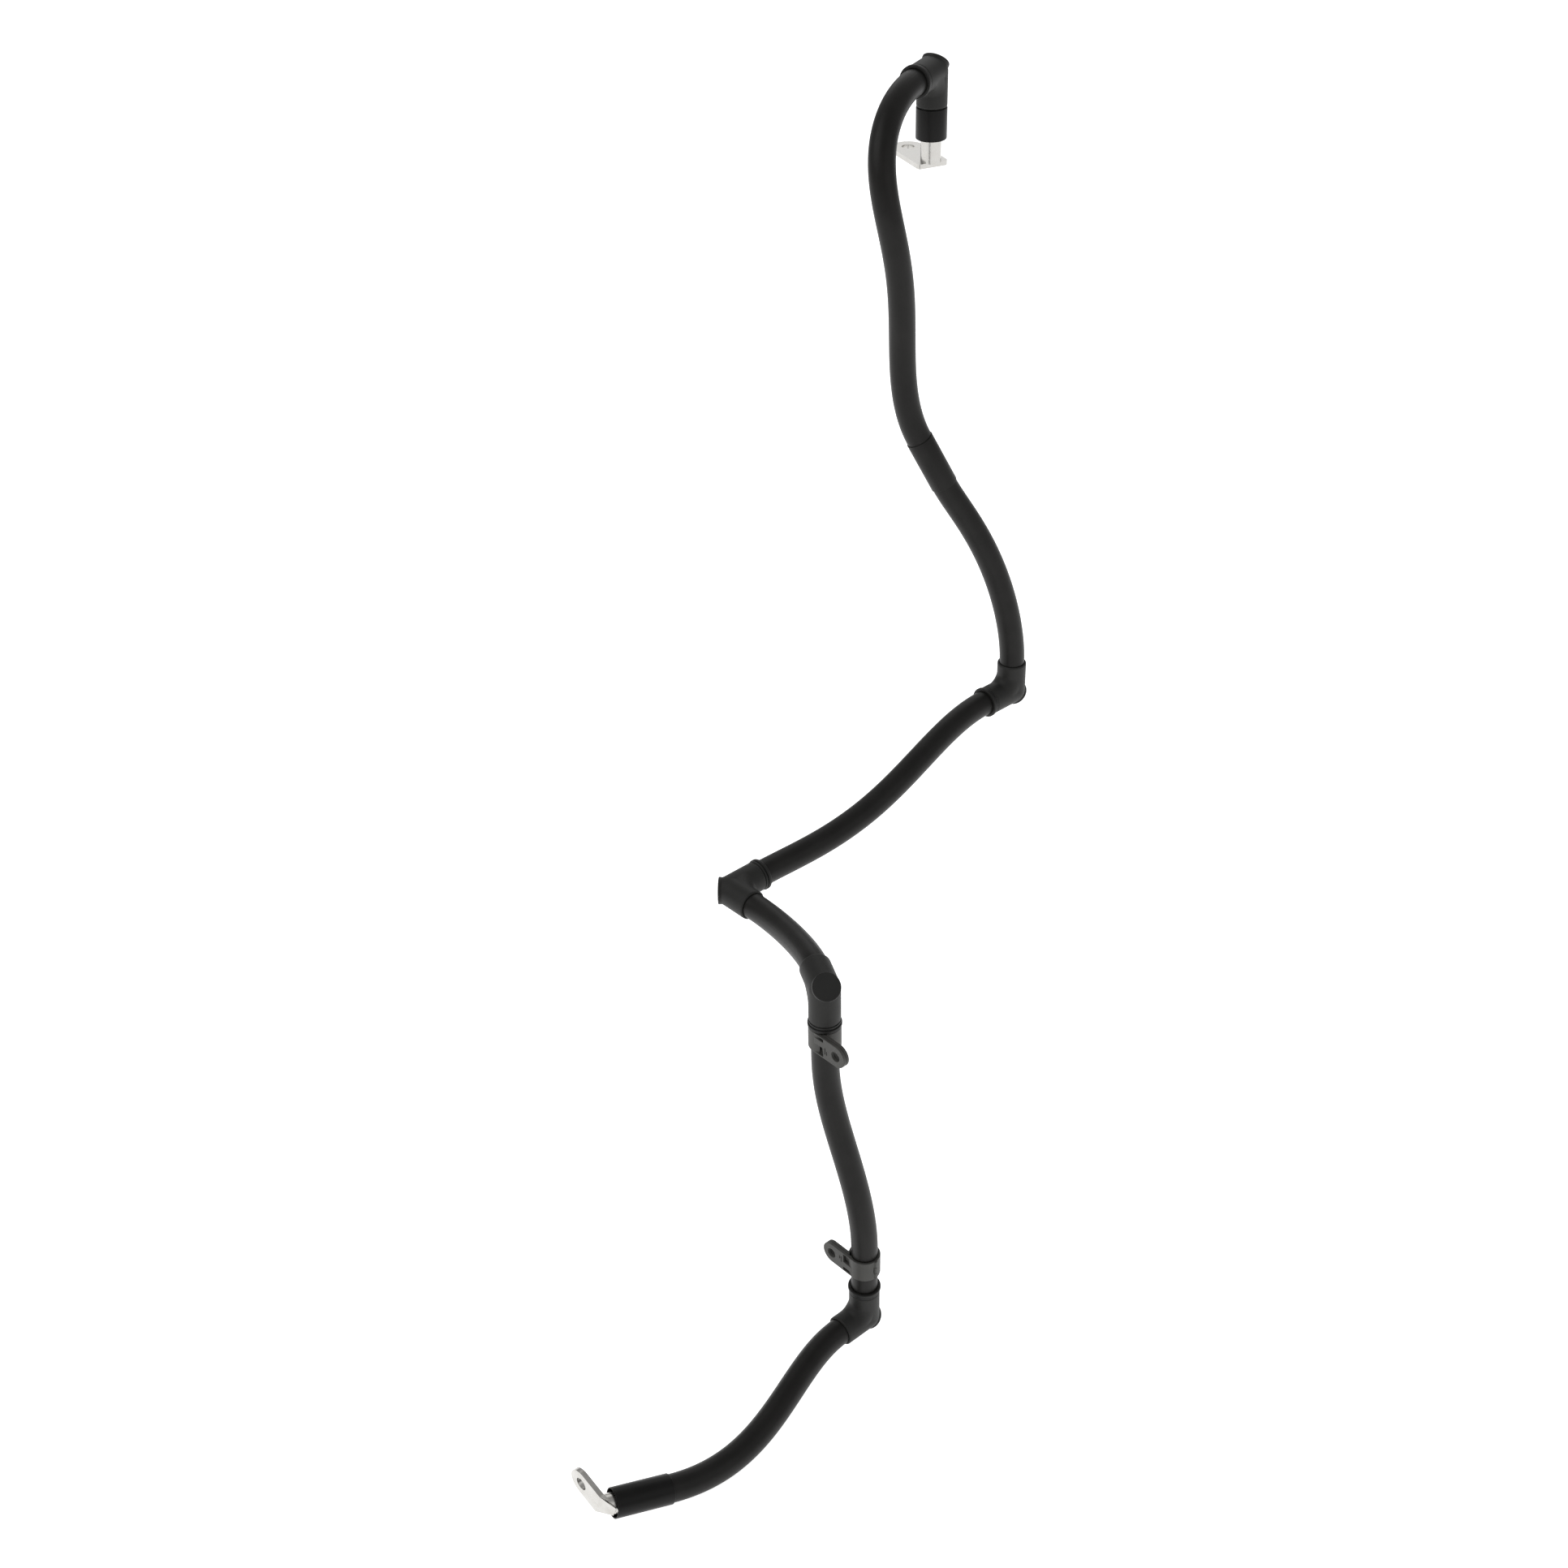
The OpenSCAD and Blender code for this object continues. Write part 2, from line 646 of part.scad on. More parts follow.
module clip_strap() {
    difference() {
        band(strap_band);
        knuckle(0, knuckle_gap);
    }
    front_leaf();
    for (third = [-1, 1]) knuckle(third);
}

module upper_clip_place() {
    translate([corner_4[0], corner_4[1], upper_clip_z]) children();
}

// The lower clip is turned over, so that its tab points the other way
module lower_clip_place() {
    translate([corner_5[0], corner_5[1], lower_clip_z]) rotate([0, 180, 0]) children();
}

module clip_upper_base() {
    color(base_colour) upper_clip_place() clip_base();
}

module clip_upper_strap() {
    color(strap_colour) upper_clip_place() clip_strap();
}

module clip_lower_base() {
    color(base_colour) lower_clip_place() clip_base();
}

module clip_lower_strap() {
    color(strap_colour) lower_clip_place() clip_strap();
}

conductor();
cable_jacket();
hose_1();
hose_2();
hose_3();
hose_4();
hose_5();
hose_6();
hose_7();
joint_sleeve();
end_sleeve_upper();
end_sleeve_lower();
elbow(1);  // elbow_1
elbow(2);  // elbow_2
elbow(3);  // elbow_3
elbow(4);  // elbow_4
elbow(5);  // elbow_5
corner_plug(1);  // corner_plug_1
corner_plug(2);  // corner_plug_2
corner_plug(3);  // corner_plug_3
corner_plug(4);  // corner_plug_4
corner_plug(5);  // corner_plug_5
lock_ring(1);  // lock_ring_1
lock_ring(2);  // lock_ring_2
lock_ring(3);  // lock_ring_3
lock_ring(4);  // lock_ring_4
lock_ring(5);  // lock_ring_5
lug_upper();
lug_lower();
clip_upper_base();
clip_upper_strap();
clip_lower_base();
clip_lower_strap();
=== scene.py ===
import math
import bmesh
import bpy
import numpy as np
from mathutils import Matrix, Vector


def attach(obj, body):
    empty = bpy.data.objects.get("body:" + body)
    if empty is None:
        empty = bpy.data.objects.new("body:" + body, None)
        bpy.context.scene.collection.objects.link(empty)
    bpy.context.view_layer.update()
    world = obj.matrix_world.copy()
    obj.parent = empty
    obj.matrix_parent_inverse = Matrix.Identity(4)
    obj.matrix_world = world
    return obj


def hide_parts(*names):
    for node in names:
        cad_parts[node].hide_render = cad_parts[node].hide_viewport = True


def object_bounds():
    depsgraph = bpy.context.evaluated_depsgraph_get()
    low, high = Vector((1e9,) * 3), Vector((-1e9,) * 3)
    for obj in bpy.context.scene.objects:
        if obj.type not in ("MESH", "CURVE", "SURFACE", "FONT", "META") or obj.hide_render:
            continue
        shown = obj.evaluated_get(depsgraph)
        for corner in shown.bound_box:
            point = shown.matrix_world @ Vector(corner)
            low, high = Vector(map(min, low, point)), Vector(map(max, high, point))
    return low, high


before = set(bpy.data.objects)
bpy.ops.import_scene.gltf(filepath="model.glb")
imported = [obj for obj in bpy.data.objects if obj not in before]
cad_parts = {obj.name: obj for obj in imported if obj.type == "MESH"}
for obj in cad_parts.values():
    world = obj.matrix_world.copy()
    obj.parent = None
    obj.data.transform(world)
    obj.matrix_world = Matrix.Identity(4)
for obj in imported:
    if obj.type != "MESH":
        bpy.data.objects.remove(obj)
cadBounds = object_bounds()
print("frame loaded")

mm = 0.001  # the route and the sizes below are in millimetres

reach = {"bearing": 18, "upperLug": 40}
corner1 = np.array([
    reach["upperLug"] * math.cos(math.radians(reach["bearing"])),
    -reach["upperLug"] * math.sin(math.radians(reach["bearing"])),
    76,
])
corner2 = corner1 + [120, -10, -512]
corner3 = corner2 + [3, -332, -49]
corner4 = corner3 + [159, -45, 17]
corner5 = corner4 + [35, 9, -326]


def level(bearing):
    return np.array([math.cos(math.radians(bearing)), math.sin(math.radians(bearing)), 0.0])


def unit(v):
    v = np.asarray(v, float)
    return v / np.linalg.norm(v)


down = np.array([0.0, 0.0, -1.0])
up = -down
elbows = {  # corner, way of the ribbed arm, way of the plain arm
    1: (corner1, level(-70), down),
    2: (corner2, level(-90), up),
    3: (corner3, level(90), level(0)),
    4: (corner4, down, level(152)),
    5: (corner5, up, level(-90)),
}
armLength = {"ribbed": 34.0, "plain": 28.0}
passageBend = 16.0


def along(number, arm, distance):
    corner, ribbed, plain = elbows[number]
    return corner + distance * (ribbed if arm == "ribbed" else plain)


def port(number, arm, extra=0.0):
    return along(number, arm, armLength[arm] + extra)


lean = math.radians(20)
roll = math.radians(33)
tilt = np.array([-math.cos(roll), 0, math.sin(roll)])
barrelWay = math.cos(lean) * level(-90) + math.sin(lean) * tilt
jointStart = corner1 + [63, -71.6, -272]
jointWay = unit([31, 34, -89])
jointLength = 46.0
jointEnd = jointStart + jointLength * jointWay
tailEnd = corner5 + [22, -227.6, -6]
clipWidth = 19.0
upperStraight = 0.5 + clipWidth + 2.5
lowerStraight = 16.5 + clipWidth + 4
ribbedSocket = armLength["ribbed"] - passageBend
plainSocket = armLength["plain"] - passageBend
sleeves = {"upper": 25.5, "lower": 47.0, "overhang": 12.0}

hoses = {  # route points, straight stretch before and after, and a way the tube never points
    1: ([along(1, "plain", passageBend), port(1, "plain", sleeves["upper"] - sleeves["overhang"])],
        0, 0, [1, 0, 0]),
    2: ([port(1, "ribbed"), port(1, "ribbed", 65), corner1 + [55, -141.6, -55],
         corner1 + [74, -100.6, -91], corner1 + [65, -71.6, -132], jointStart - 74 * jointWay,
         jointStart], ribbedSocket, jointLength / 2, [1, 0, 0]),
    3: ([jointEnd, jointEnd + 34 * jointWay, corner2 + [-15, -10.6, 140], port(2, "plain", 42),
         port(2, "plain")], jointLength / 2, plainSocket, [1, 0, 0]),
    4: ([port(2, "ribbed"), port(2, "ribbed", 78), corner3 + [30, 154.4, 11], port(3, "ribbed", 63),
         port(3, "ribbed")], ribbedSocket, ribbedSocket, [0, 0, 1]),
    5: ([port(3, "plain"), port(3, "plain", 36), port(4, "plain", 20), port(4, "plain")],
        plainSocket, plainSocket, [0, 0, 1]),
    6: ([port(4, "ribbed", upperStraight), port(4, "ribbed", upperStraight + 33), corner4 + [1, -0.6, -121],
         corner5 + [-15, -2.6, 167], port(5, "ribbed", lowerStraight + 47), port(5, "ribbed", lowerStraight)],
        ribbedSocket + upperStraight, ribbedSocket + lowerStraight, [0, 1, 0]),
    7: ([port(5, "plain"), port(5, "plain", 39), corner5 + [20, -105.6, -3], corner5 + [36, -144.6, -13],
         tailEnd - 46 * barrelWay, tailEnd], plainSocket, sleeves["lower"] - sleeves["overhang"], [0, 0, 1]),
}


def meshPiece(name, verts, quads, uv=None, smooth=True):
    mesh = bpy.data.meshes.new(name)
    mesh.from_pydata((np.asarray(verts) * mm).tolist(), [], quads.tolist())
    mesh.update()
    if uv is not None:
        layer = mesh.uv_layers.new(name="UVMap")
        loopVerts = np.empty(len(mesh.loops), np.int32)
        mesh.loops.foreach_get("vertex_index", loopVerts)
        layer.data.foreach_set("uv", np.asarray(uv)[loopVerts].astype(np.float32).ravel())
    mesh.polygons.foreach_set("use_smooth", np.full(len(mesh.polygons), smooth))
    piece = bpy.data.objects.new(name, mesh)
    bpy.context.scene.collection.objects.link(piece)
    return piece


def gridQuads(rows, columns, closeRows, closeColumns):
    # four neighbours on a grid, wrapped round where a direction closes
    i, k = np.meshgrid(np.arange(rows if closeRows else rows - 1),
                       np.arange(columns if closeColumns else columns - 1), indexing="ij")
    i2, k2 = (i + 1) % rows, (k + 1) % columns
    quads = [i * columns + k, i2 * columns + k, i2 * columns + k2, i * columns + k2]
    return np.stack(quads, -1).reshape(-1, 4)


def placeAt(points, origin, zWay, xHint):
    # local x, y, z carried onto a frame whose z is zWay
    z = unit(zWay)
    x = unit(np.asarray(xHint, float) - np.dot(xHint, z) * z)
    y = np.cross(z, x)
    return origin + points @ np.stack([x, y, z])


turnedSides = 96


def turned(name, profile, origin, zWay):
    # each profile point (radius, height) swept round the axis; the profile is a closed loop
    theta = np.linspace(0, 2 * np.pi, turnedSides, endpoint=False)
    ring = np.stack([np.cos(theta), np.sin(theta)], -1)
    xy = profile[:, None, 0:1] * ring[None]
    z = np.repeat(profile[:, None, 1:2], turnedSides, 1)
    points = np.concatenate([xy, z], -1).reshape(-1, 3)
    across = theta[None] / (2 * np.pi)
    around = np.linspace(0, 1, len(profile))[:, None]
    uv = np.stack(np.broadcast_arrays(across, around), -1)
    upright = abs(unit(zWay)[2]) > 0.8
    hint = [0, 1, 0] if upright else [0, 0, 1]
    return meshPiece(name, placeAt(points, np.asarray(origin, float), zWay, hint),
                     gridQuads(len(profile), turnedSides, True, True)[:, ::-1], uv.reshape(-1, 2))


def rounded(corners, steps=5):
    # a closed loop of (radius, height, rounding) corners, each rounded corner an arc of short chords
    loop = []
    pts = [np.array(c[:2], float) for c in corners]
    for n, corner in enumerate(corners):
        here, r = pts[n], corner[2]
        if r <= 0:
            loop.append(here)
            continue
        a = unit(pts[n - 1] - here)
        b = unit(pts[(n + 1) % len(pts)] - here)
        half = 0.5 * math.acos(max(-1.0, min(1.0, float(a @ b))))
        reachBack = r / math.tan(half)
        centre = here + unit(a + b) * r / math.sin(half)
        start, end = here + a * reachBack - centre, here + b * reachBack - centre
        t = np.linspace(0, 1, steps)[:, None]
        blend = start * (1 - t) + end * t
        loop.extend(centre + blend / np.linalg.norm(blend, axis=1, keepdims=True) * r)
    return np.array(loop)


def finish(piece, body, nodes, material):
    piece.data.materials.append(material)
    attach(piece, body)
    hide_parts(*nodes)
    return piece


def nodeTree(name):
    material = bpy.data.materials.new(name)
    material.use_nodes = True
    tree = material.node_tree
    shader = tree.nodes["Principled BSDF"]
    return material, tree, shader


def link(tree, a, b):
    tree.links.new(a, b)


def noise(tree, coordinates, scale, detail=3.0, roughness=0.55, stretch=None):
    source = coordinates
    if stretch is not None:
        mapping = tree.nodes.new("ShaderNodeMapping")
        mapping.inputs["Scale"].default_value = stretch
        link(tree, coordinates, mapping.inputs["Vector"])
        source = mapping.outputs["Vector"]
    node = tree.nodes.new("ShaderNodeTexNoise")
    node.inputs["Scale"].default_value = scale
    node.inputs["Detail"].default_value = detail
    node.inputs["Roughness"].default_value = roughness
    link(tree, source, node.inputs["Vector"])
    return node.outputs["Fac"]


def spread(tree, value, low, high, fromLow=0.3, fromHigh=0.7):
    node = tree.nodes.new("ShaderNodeMapRange")
    node.inputs["From Min"].default_value = fromLow
    node.inputs["From Max"].default_value = fromHigh
    node.inputs["To Min"].default_value = low
    node.inputs["To Max"].default_value = high
    link(tree, value, node.inputs["Value"])
    return node.outputs["Result"]


def ramp(tree, value, stops):
    node = tree.nodes.new("ShaderNodeValToRGB")
    node.color_ramp.elements[0].position = stops[0][0]
    node.color_ramp.elements[0].color = (*stops[0][1], 1)
    node.color_ramp.elements[1].position = stops[-1][0]
    node.color_ramp.elements[1].color = (*stops[-1][1], 1)
    for position, colour in stops[1:-1]:
        node.color_ramp.elements.new(position).color = (*colour, 1)
    link(tree, value, node.inputs["Fac"])
    return node.outputs["Color"]


def bump(tree, height, distance, after=None):
    node = tree.nodes.new("ShaderNodeBump")
    node.inputs["Strength"].default_value = 1.0
    node.inputs["Distance"].default_value = distance
    link(tree, height, node.inputs["Height"])
    if after is not None:
        link(tree, after, node.inputs["Normal"])
    return node.outputs["Normal"]


def mouldedPlastic(name, dark, light, rough, grain, depth, specular):
    # two tones in soft patches, fine grain, and a few faint scuffs that shine
    material, tree, shader = nodeTree(name)
    here = tree.nodes.new("ShaderNodeTexCoord").outputs["Object"]
    patches = noise(tree, here, 38, 4)
    link(tree, ramp(tree, patches, [(0.3, dark), (0.7, light)]), shader.inputs["Base Color"])
    fine = noise(tree, here, grain, 2, 0.6)
    scuffs = noise(tree, here, 260, 5, 0.7, (1, 1, 0.25))
    add = tree.nodes.new("ShaderNodeMath")
    add.operation = "ADD"
    link(tree, spread(tree, patches, rough - 0.04, rough + 0.05), add.inputs[0])
    link(tree, spread(tree, scuffs, 0, -0.05, 0.6, 0.75), add.inputs[1])
    link(tree, add.outputs[0], shader.inputs["Roughness"])
    link(tree, bump(tree, fine, depth), shader.inputs["Normal"])
    shader.inputs["Specular IOR Level"].default_value = specular
    return material


def drawnHose(name, dark, light, rough, specular):
    # extruded hose: faint lines along the tube, in its own map, and a soft waxy mottle
    material, tree, shader = nodeTree(name)
    coordinates = tree.nodes.new("ShaderNodeTexCoord")
    lines = noise(tree, coordinates.outputs["UV"], 1.0, 3, 0.6, (70, 1.3, 1))
    mottle = noise(tree, coordinates.outputs["Object"], 55, 4)
    fine = noise(tree, coordinates.outputs["Object"], 1500, 2)
    link(tree, ramp(tree, mottle, [(0.3, dark), (0.72, light)]), shader.inputs["Base Color"])
    link(tree, spread(tree, lines, rough - 0.05, rough + 0.07), shader.inputs["Roughness"])
    first = bump(tree, lines, 0.00004)
    link(tree, bump(tree, fine, 0.000012, first), shader.inputs["Normal"])
    shader.inputs["Specular IOR Level"].default_value = specular
    return material


def tinPlate(name):
    # bright tin: fine brushing, cloudy dull patches and a slightly warm tone
    material, tree, shader = nodeTree(name)
    here = tree.nodes.new("ShaderNodeTexCoord").outputs["Object"]
    cloud = noise(tree, here, 90, 4)
    brushing = noise(tree, here, 900, 3, 0.6, (1, 1, 0.08))
    tones = [(0.3, (0.47, 0.457, 0.432)), (0.7, (0.58, 0.572, 0.553))]
    link(tree, ramp(tree, cloud, tones), shader.inputs["Base Color"])
    link(tree, spread(tree, cloud, 0.22, 0.36), shader.inputs["Roughness"])
    link(tree, bump(tree, brushing, 0.000004), shader.inputs["Normal"])
    shader.inputs["Metallic"].default_value = 1.0
    return material


def strandedCopper(name):
    # fine strands as small bright and dark grains
    material, tree, shader = nodeTree(name)
    here = tree.nodes.new("ShaderNodeTexCoord").outputs["Object"]
    strands = noise(tree, here, 1400, 2, 0.5)
    tones = [(0.35, (0.36, 0.16, 0.08)), (0.65, (0.75, 0.4, 0.25))]
    link(tree, ramp(tree, strands, tones), shader.inputs["Base Color"])
    link(tree, spread(tree, strands, 0.25, 0.5), shader.inputs["Roughness"])
    link(tree, bump(tree, strands, 0.0001), shader.inputs["Normal"])
    shader.inputs["Metallic"].default_value = 1.0
    return material


hoseFinish = drawnHose("hoseBlack", dark=(0.0070, 0.0066, 0.0060), light=(0.0115, 0.0109, 0.0101),
                       rough=0.42, specular=0.18)
elbowFinish = mouldedPlastic(
    "elbowBlack", dark=(0.0150, 0.0150, 0.0141), light=(0.0205, 0.0205, 0.0194),
    rough=0.52, grain=1300, depth=0.00003, specular=0.20)
ringFinish = mouldedPlastic(
    "lockRingBlack", dark=(0.0125, 0.0125, 0.0118), light=(0.0180, 0.0180, 0.0171),
    rough=0.48, grain=1300, depth=0.000025, specular=0.20)
plugFinish = mouldedPlastic(
    "plugBlack", dark=(0.0145, 0.0145, 0.0138), light=(0.0195, 0.0195, 0.0186),
    rough=0.45, grain=1500, depth=0.00002, specular=0.20)
sleeveFinish = mouldedPlastic(
    "shrinkBlack", dark=(0.0042, 0.0040, 0.0038), light=(0.0066, 0.0063, 0.0060),
    rough=0.38, grain=900, depth=0.00002, specular=0.15)
clipFinish = mouldedPlastic(
    "clipGrey", dark=(0.048, 0.0475, 0.0440), light=(0.062, 0.0612, 0.0570),
    rough=0.50, grain=1100, depth=0.00003, specular=0.28)
jacketFinish = mouldedPlastic(
    "jacketRubber", dark=(0.010, 0.010, 0.010), light=(0.017, 0.017, 0.017),
    rough=0.6, grain=1200, depth=0.00004, specular=0.35)
tinFinish = tinPlate("tinPlate")
copperFinish = strandedCopper("copperStrand")
print("finishes made")


hoseShape = {"outer": 10.75, "inner": 8.5, "lip": 0.5, "sides": 72, "step": 2.5,
             "curveSamples": 600, "straightSamples": 60, "mapLength": 100}


def bezier(points, t):
    # repeated mixing of neighbouring control points, for all t at once
    mixed = np.repeat(np.asarray(points, float)[:, None], len(t), 1)
    while len(mixed) > 1:
        mixed = mixed[:-1] * (1 - t)[None, :, None] + mixed[1:] * t[None, :, None]
    return mixed[0]


def pathOf(points, before, after):
    # straight, curve, straight, as points and the length along them
    few = hoseShape["straightSamples"]
    curve = bezier(points, np.linspace(0, 1, hoseShape["curveSamples"]))
    first, last = unit(curve[1] - curve[0]), unit(curve[-1] - curve[-2])
    lead = curve[0] - first * np.linspace(before, 0, few)[:-1, None] if before else curve[:0]
    tail = curve[-1] + last * np.linspace(0, after, few)[1:, None] if after else curve[:0]
    dense = np.concatenate([lead, curve, tail])
    steps = np.linalg.norm(np.diff(dense, axis=0), axis=1)
    length = np.concatenate([[0], np.cumsum(steps)])
    return dense, length


def hosePiece(number):
    # a ring of the hose's radius carried along its path, over the outside and back through the bore
    points, before, after, away = hoses[number]
    dense, length = pathOf(points, before, after)
    total = length[-1]
    lip = hoseShape["lip"]
    middle = np.linspace(lip * 2, total - lip * 2, max(8, int(total / hoseShape["step"])))
    inward = lip * np.array([0, 0.15, 0.5, 1])
    out = np.concatenate([inward, middle, total - inward[::-1]])
    drop = np.array([1.0, 0.5, 0.13, 0.0])
    outer = np.full(len(out), hoseShape["outer"])
    outer[:4] -= lip * drop
    outer[-4:] -= lip * drop[::-1]
    station = np.concatenate([out, out[::-1]])
    radius = np.concatenate([outer, np.full(len(out), hoseShape["inner"])])
    centre = np.stack([np.interp(station, length, dense[:, axis]) for axis in range(3)], -1)
    tangent = np.gradient(dense, length, axis=0)
    tangent = np.stack([np.interp(station, length, tangent[:, axis]) for axis in range(3)], -1)
    tangent /= np.linalg.norm(tangent, axis=1, keepdims=True)
    side = np.cross(tangent, np.asarray(away, float))
    side /= np.linalg.norm(side, axis=1, keepdims=True)
    other = np.cross(tangent, side)
    theta = np.linspace(0, 2 * np.pi, hoseShape["sides"], endpoint=False)
    swing = theta[None, :, None]
    ring = np.cos(swing) * side[:, None] + np.sin(swing) * other[:, None]
    skin = centre[:, None] + radius[:, None, None] * ring
    around = np.abs(theta / np.pi - 1)[None]
    uv = np.stack(np.broadcast_arrays(around, (station / hoseShape["mapLength"])[:, None]), -1)
    piece = meshPiece(f"hoseSkin{number}", skin.reshape(-1, 3),
                      gridQuads(len(station), hoseShape["sides"], True, True)[:, ::-1],
                      uv.reshape(-1, 2))
    return finish(piece, "cable", [f"hose_{number}"], hoseFinish)


for number in hoses:
    hosePiece(number)
print("hoses made")


sleeveShape = {  # bore radius, then the wall and the edge rounding of each sleeve
    "bore": 10.85,
    "upper": (1.75, 0.8),
    "lower": (0.9, 0.4),
    "joint": (0.5, 0.2),
}


def sleevePiece(name, node, start, way, length, kind, material):
    bore = sleeveShape["bore"]
    wall, soft = sleeveShape[kind]
    out = bore + wall
    mouth = min(soft, wall * 0.4)
    profile = rounded([(bore, 0, 0), (out, 0, soft), (out, length, soft), (bore, length, mouth)])
    return finish(turned(name, profile, start, way), "cable", [node], material)


sleevePiece("upperShrinkSleeve", "end_sleeve_upper", port(1, "plain"), down, sleeves["upper"],
            "upper", sleeveFinish)
sleevePiece("lowerShrinkSleeve", "end_sleeve_lower", tailEnd, barrelWay, sleeves["lower"],
            "lower", sleeveFinish)
sleevePiece("jointSleeve", "joint_sleeve", jointStart, jointWay, jointLength,
            "joint", hoseFinish)
print("sleeves made")


def mouldedCopy(name, node, voxel, passes):
    # the node's own skin, merged, then softened to the small radii of a moulding
    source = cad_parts[node]
    work = bmesh.new()
    work.from_mesh(source.data)
    bmesh.ops.remove_doubles(work, verts=work.verts, dist=1e-6)
    mesh = bpy.data.meshes.new(name)
    work.to_mesh(mesh)
    work.free()
    piece = bpy.data.objects.new(name, mesh)
    bpy.context.scene.collection.objects.link(piece)
    remesh = piece.modifiers.new("grain", "REMESH")
    remesh.mode = "VOXEL"
    remesh.voxel_size = voxel * mm
    remesh.use_smooth_shade = True
    soften = piece.modifiers.new("soften", "SMOOTH")
    soften.factor = 0.5
    soften.iterations = passes
    return piece


elbowShape = {"voxel": 0.55, "passes": 6}
for number in elbows:
    node = f"elbow_{number}"
    piece = mouldedCopy(f"elbowMoulding{number}", node, elbowShape["voxel"], elbowShape["passes"])
    finish(piece, "cable", [node], elbowFinish)
print("elbows made")


ringShape = {"neck": 11.75, "collar": 12.65, "groove": 11.8, "lip": 13.3, "length": 6.0, "socket": 10.85,
             "collarFoot": 0.7, "collarTop": 2.6, "lipFoot": 3.2, "relief": 1.0}
plugShape = {"face": 8.1, "cap": 1.2, "radius": 10.75, "stem": 7.95, "stemLength": 5.9,
             "skirt": 2.8, "skirtFoot": 10.7, "dish": 0.1, "pole": 0.01, "poleRing": 0.5}


def lockRingPiece(number):
    # a groove, a round collar, a second groove and a wide lip, over a bore with a small relief
    corner, ribbed, _ = elbows[number]
    r = ringShape
    base = armLength["ribbed"] - r["length"]
    shoulder = r["length"] - r["relief"]
    profile = rounded([
        (r["neck"], 0, 0), (r["groove"], 0, 0), (r["groove"], r["collarFoot"], 0),
        (r["collar"], r["collarFoot"], 0.4), (r["collar"], r["collarTop"], 0.5),
        (r["groove"], r["collarTop"], 0), (r["groove"], r["lipFoot"], 0),
        (r["lip"], r["lipFoot"], 0.35), (r["lip"], r["length"], 0.75),
        (r["socket"], r["length"], 0.35), (r["socket"], shoulder, 0), (r["neck"], shoulder, 0)])
    piece = turned(f"lockRingSkin{number}", profile, corner + base * ribbed, ribbed)
    return finish(piece, "cable", [f"lock_ring_{number}"], ringFinish)


def plugPiece(number):
    # a shallow dished cap on its stem, with a tapered skirt over the boss
    corner, ribbed, plain = elbows[number]
    p = plugShape
    way = -unit(ribbed + plain)
    bottom = p["face"] - p["stemLength"]
    seat = p["face"] + 0.1
    foot = p["face"] - p["skirt"]
    top = p["face"] + p["cap"]
    floor = top - p["dish"]
    profile = rounded([
        (p["pole"], bottom, 0), (p["poleRing"], bottom, 0), (p["stem"], bottom, 0.3),
        (p["stem"], seat, 0), (p["skirtFoot"], seat, 0), (p["skirtFoot"], foot, 0),
        (p["skirtFoot"] + 0.1, foot, 0), (p["radius"] + 0.45, seat, 0.4),
        (p["radius"] + 0.35, top, 0.5), (p["radius"] - 1.0, top, 0.1),
        (p["radius"] - 1.3, floor, 0.1), (p["poleRing"], floor, 0), (p["pole"], floor, 0)])
    piece = turned(f"plugSkin{number}", profile, corner, way)
    return finish(piece, "cable", [f"corner_plug_{number}"], plugFinish)


for number in elbows:
    lockRingPiece(number)
    plugPiece(number)
print("lock rings and plugs made")


clipShape = {"voxel": 0.22, "passes": 4}
for place in ("upper", "lower"):
    for half, body in (("base", "clip"), ("strap", "strap")):
        node = f"clip_{place}_{half}"
        name = f"{place}Clip{half.capitalize()}"
        piece = mouldedCopy(name, node, clipShape["voxel"], clipShape["passes"])
        finish(piece, f"{place}_{body}", [node], clipFinish)
print("clips made")


for node, material in (("cable_jacket", jacketFinish), ("conductor", copperFinish),
                       ("lug_upper", tinFinish), ("lug_lower", tinFinish)):
    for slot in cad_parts[node].material_slots:
        slot.material = material
print("inner parts finished")


studio = {"floorDrop": 3 * mm, "floorSize": 14.0, "floorGlow": 0.85,
          "key": 26, "fill": 8, "back": 12, "sky": 0.42}
low, high = cadBounds[0], cadBounds[1]
middle = Vector([(low[axis] + high[axis]) / 2 for axis in range(3)])


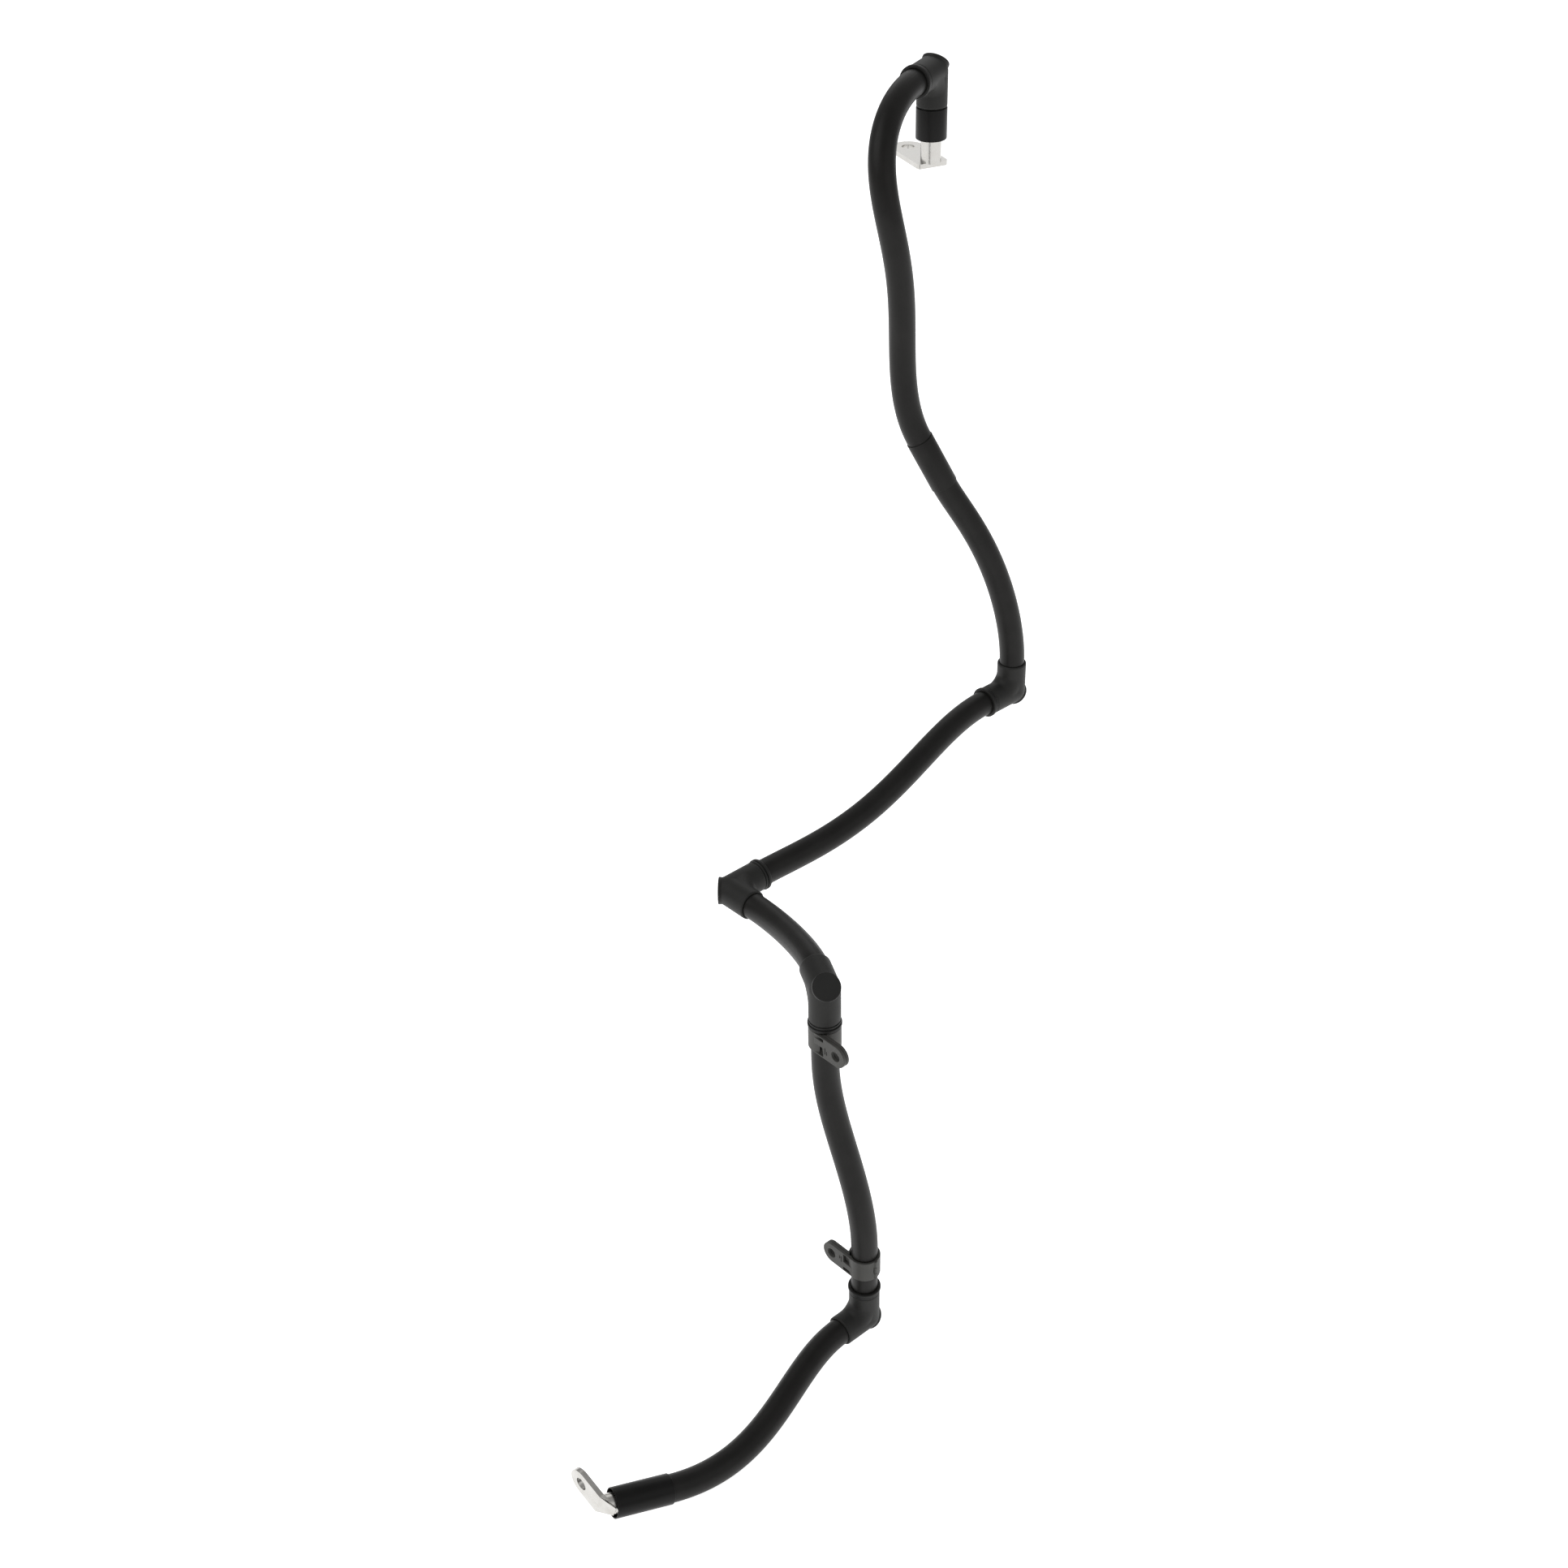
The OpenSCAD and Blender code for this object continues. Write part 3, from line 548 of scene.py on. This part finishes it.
def floorPiece():
    # one wide flat sheet under the lowest point
    half = studio["floorSize"] / 2
    z = low[2] - studio["floorDrop"]
    corners = np.array([[-half, -half], [half, -half], [half, half], [-half, half]]) + [middle.x, middle.y]
    points = np.column_stack([corners, np.full(4, z)]) / mm
    floor = meshPiece("studioFloor", points, np.array([[0, 1, 2, 3]]), smooth=False)
    material, tree, shader = nodeTree("floorWhite")
    here = tree.nodes.new("ShaderNodeTexCoord").outputs["Object"]
    cloud = noise(tree, here, 3, 2)
    tones = [(0.3, (0.93, 0.93, 0.93)), (0.7, (0.95, 0.95, 0.95))]
    link(tree, ramp(tree, cloud, tones), shader.inputs["Base Color"])
    shader.inputs["Roughness"].default_value = 0.9
    shader.inputs["Specular IOR Level"].default_value = 0.0
    shader.inputs["Emission Color"].default_value = (1, 1, 1, 1)
    shader.inputs["Emission Strength"].default_value = studio["floorGlow"]
    floor.data.materials.append(material)


def softBox(name, place, size, power):
    light = bpy.data.lights.new(name, "AREA")
    light.shape = "RECTANGLE"
    light.size, light.size_y = size
    light.energy = power
    lamp = bpy.data.objects.new(name, light)
    bpy.context.scene.collection.objects.link(lamp)
    lamp.location = middle + Vector(place)
    lamp.rotation_euler = (middle - lamp.location).to_track_quat("-Z", "Y").to_euler()


view = {"right": (0.6748, 0.7378, -0.0161), "up": (-0.4008, 0.3847, 0.8315),
        "place": (1.292, -1.306, 0.604), "sensor": 36, "lens": 36 * 2800 / 1932, "far": 50}


def cameraPiece():
    right = Vector(view["right"])
    upWay = Vector(view["up"])
    back = right.cross(upWay).normalized()
    right = upWay.cross(back).normalized()
    data = bpy.data.cameras.new("camera")
    data.sensor_width = view["sensor"]
    data.lens = view["lens"]
    data.clip_end = view["far"]
    camera = bpy.data.objects.new("camera", data)
    bpy.context.scene.collection.objects.link(camera)
    turn = Matrix((right, upWay, back)).transposed().to_4x4()
    camera.matrix_world = Matrix.Translation(Vector(view["place"])) @ turn
    bpy.context.scene.camera = camera


floorPiece()
softBox("keyLight", (-0.9, -1.6, 2.4), (2.2, 2.2), studio["key"])
softBox("fillLight", (2.6, 0.6, 1.4), (2.4, 2.0), studio["fill"])
softBox("backLight", (-1.8, 2.2, 1.6), (2.6, 1.8), studio["back"])
world = bpy.data.worlds.new("studio")
world.use_nodes = True
world.node_tree.nodes["Background"].inputs["Color"].default_value = (1, 1, 1, 1)
world.node_tree.nodes["Background"].inputs["Strength"].default_value = studio["sky"]
bpy.context.scene.world = world
bpy.context.scene.view_settings.view_transform = "Standard"
cameraPiece()
print("studio made")
